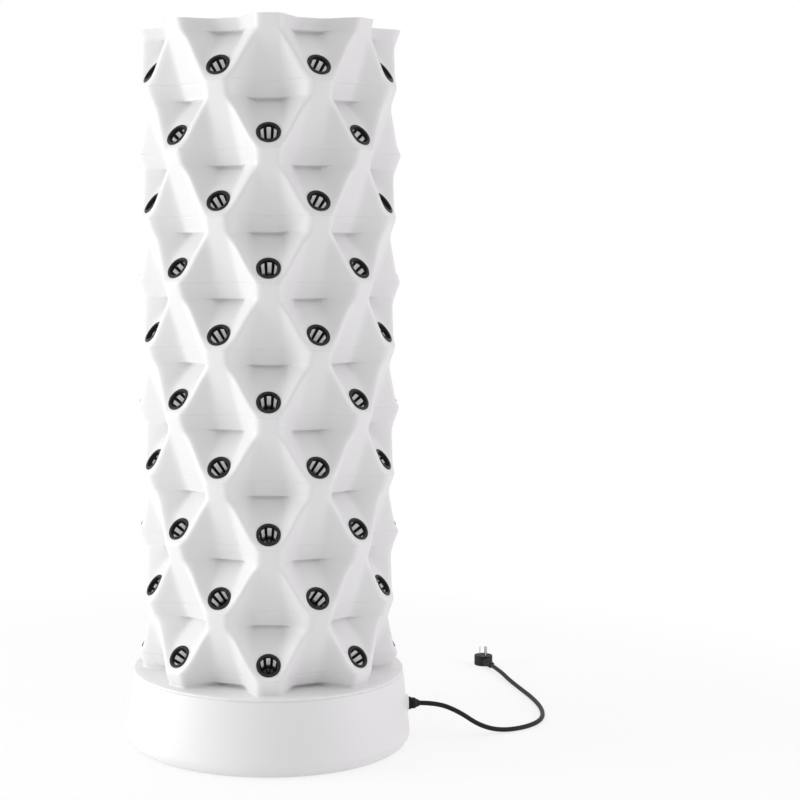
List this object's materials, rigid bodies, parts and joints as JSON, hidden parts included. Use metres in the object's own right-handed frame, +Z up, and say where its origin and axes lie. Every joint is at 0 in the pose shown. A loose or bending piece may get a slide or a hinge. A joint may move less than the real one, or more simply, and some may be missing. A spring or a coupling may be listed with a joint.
{
  "type": "vertical planter tower",
  "caption": "Tall round planter tower of stacked faceted sections with sloped pockets for net cups, on a round water tank with a pump and a mains lead.",
  "frame": {"origin": "on the ground, on the tower's axis under the middle of the tank", "axes": "+Z up along the tower's axis, front towards -Y, cable gland towards +X"},
  "size_m": [0.8205, 0.8592, 1.3218],
  "materials": {
    "white_moulding": "matt moulded polypropylene",
    "black_cup": "matt black polypropylene",
    "white_pipe": "satin extruded PVC",
    "grey_fitting": "satin moulded PVC",
    "pump_body": "matt black ABS",
    "steel_pin": "ground stainless steel",
    "impeller_plastic": "satin moulded plastic",
    "soft_foot": "soft rubber",
    "black_gland": "matt black nylon",
    "black_lead": "satin black flexible PVC",
    "black_plug": "satin black moulded PVC",
    "metal_pins": "nickel-plated brass"
  },
  "bodies": {
    "tower": {"water_tank": "white_moulding", "tank_lid": "white_moulding", "section_01": "white_moulding", "section_02": "white_moulding", "section_03": "white_moulding", "section_04": "white_moulding", "section_05": "white_moulding", "section_06": "white_moulding", "section_07": "white_moulding", "section_08": "white_moulding", "section_09": "white_moulding", "section_10": "white_moulding", "net_cups_01": "black_cup", "net_cups_02": "black_cup", "net_cups_03": "black_cup", "net_cups_04": "black_cup", "net_cups_05": "black_cup", "net_cups_06": "black_cup", "net_cups_07": "black_cup", "net_cups_08": "black_cup", "net_cups_09": "black_cup", "net_cups_10": "black_cup", "drip_tray": "white_moulding", "spray_cap": "grey_fitting", "riser_lower": "white_pipe", "riser_upper": "white_pipe", "riser_coupling": "grey_fitting", "pump_housing": "pump_body", "pump_shaft": "steel_pin", "pump_strainer": "pump_body", "pump_feet": "soft_foot", "gland_body": "black_gland", "gland_locknut": "black_gland", "gland_nut": "black_gland", "power_cord": "black_lead", "plug_body": "black_plug", "plug_pins": "metal_pins"},
    "cup_01": {"net_cup_lift_01": "black_cup"},
    "cup_02": {"net_cup_lift_02": "black_cup"},
    "cup_03": {"net_cup_lift_03": "black_cup"},
    "cup_04": {"net_cup_lift_04": "black_cup"},
    "cup_05": {"net_cup_lift_05": "black_cup"},
    "cup_06": {"net_cup_lift_06": "black_cup"},
    "cup_07": {"net_cup_lift_07": "black_cup"},
    "cup_08": {"net_cup_lift_08": "black_cup"},
    "cup_09": {"net_cup_lift_09": "black_cup"},
    "cup_10": {"net_cup_lift_10": "black_cup"},
    "cover": {"top_cover": "white_moulding"},
    "impeller": {"pump_impeller": "impeller_plastic"}
  },
  "joints": [
    {"name": "cup_pull_01", "type": "slide", "parent": "tower", "child": "cup_01", "axis": [0, -0.8192, 0.5736], "range_m": [0, 0.06]},
    {"name": "cup_pull_02", "type": "slide", "parent": "tower", "child": "cup_02", "axis": [0.3135, -0.7568, 0.5736], "range_m": [0, 0.06]},
    {"name": "cup_pull_03", "type": "slide", "parent": "tower", "child": "cup_03", "axis": [0, -0.8192, 0.5736], "range_m": [0, 0.06]},
    {"name": "cup_pull_04", "type": "slide", "parent": "tower", "child": "cup_04", "axis": [0.3135, -0.7568, 0.5736], "range_m": [0, 0.06]},
    {"name": "cup_pull_05", "type": "slide", "parent": "tower", "child": "cup_05", "axis": [0, -0.8192, 0.5736], "range_m": [0, 0.06]},
    {"name": "cup_pull_06", "type": "slide", "parent": "tower", "child": "cup_06", "axis": [0.3135, -0.7568, 0.5736], "range_m": [0, 0.06]},
    {"name": "cup_pull_07", "type": "slide", "parent": "tower", "child": "cup_07", "axis": [0, -0.8192, 0.5736], "range_m": [0, 0.06]},
    {"name": "cup_pull_08", "type": "slide", "parent": "tower", "child": "cup_08", "axis": [0.3135, -0.7568, 0.5736], "range_m": [0, 0.06]},
    {"name": "cup_pull_09", "type": "slide", "parent": "tower", "child": "cup_09", "axis": [0, -0.8192, 0.5736], "range_m": [0, 0.06]},
    {"name": "cup_pull_10", "type": "slide", "parent": "tower", "child": "cup_10", "axis": [0.3135, -0.7568, 0.5736], "range_m": [0, 0.06]},
    {"name": "cover_lift", "type": "slide", "parent": "tower", "child": "cover", "axis": [0, 0, 1], "range_m": [0, 0.05]},
    {"name": "impeller_spin", "type": "hinge", "parent": "tower", "child": "impeller", "pos_m": [0, 0, 0.038], "axis": [0, 1, 0], "continuous": true}
  ]
}
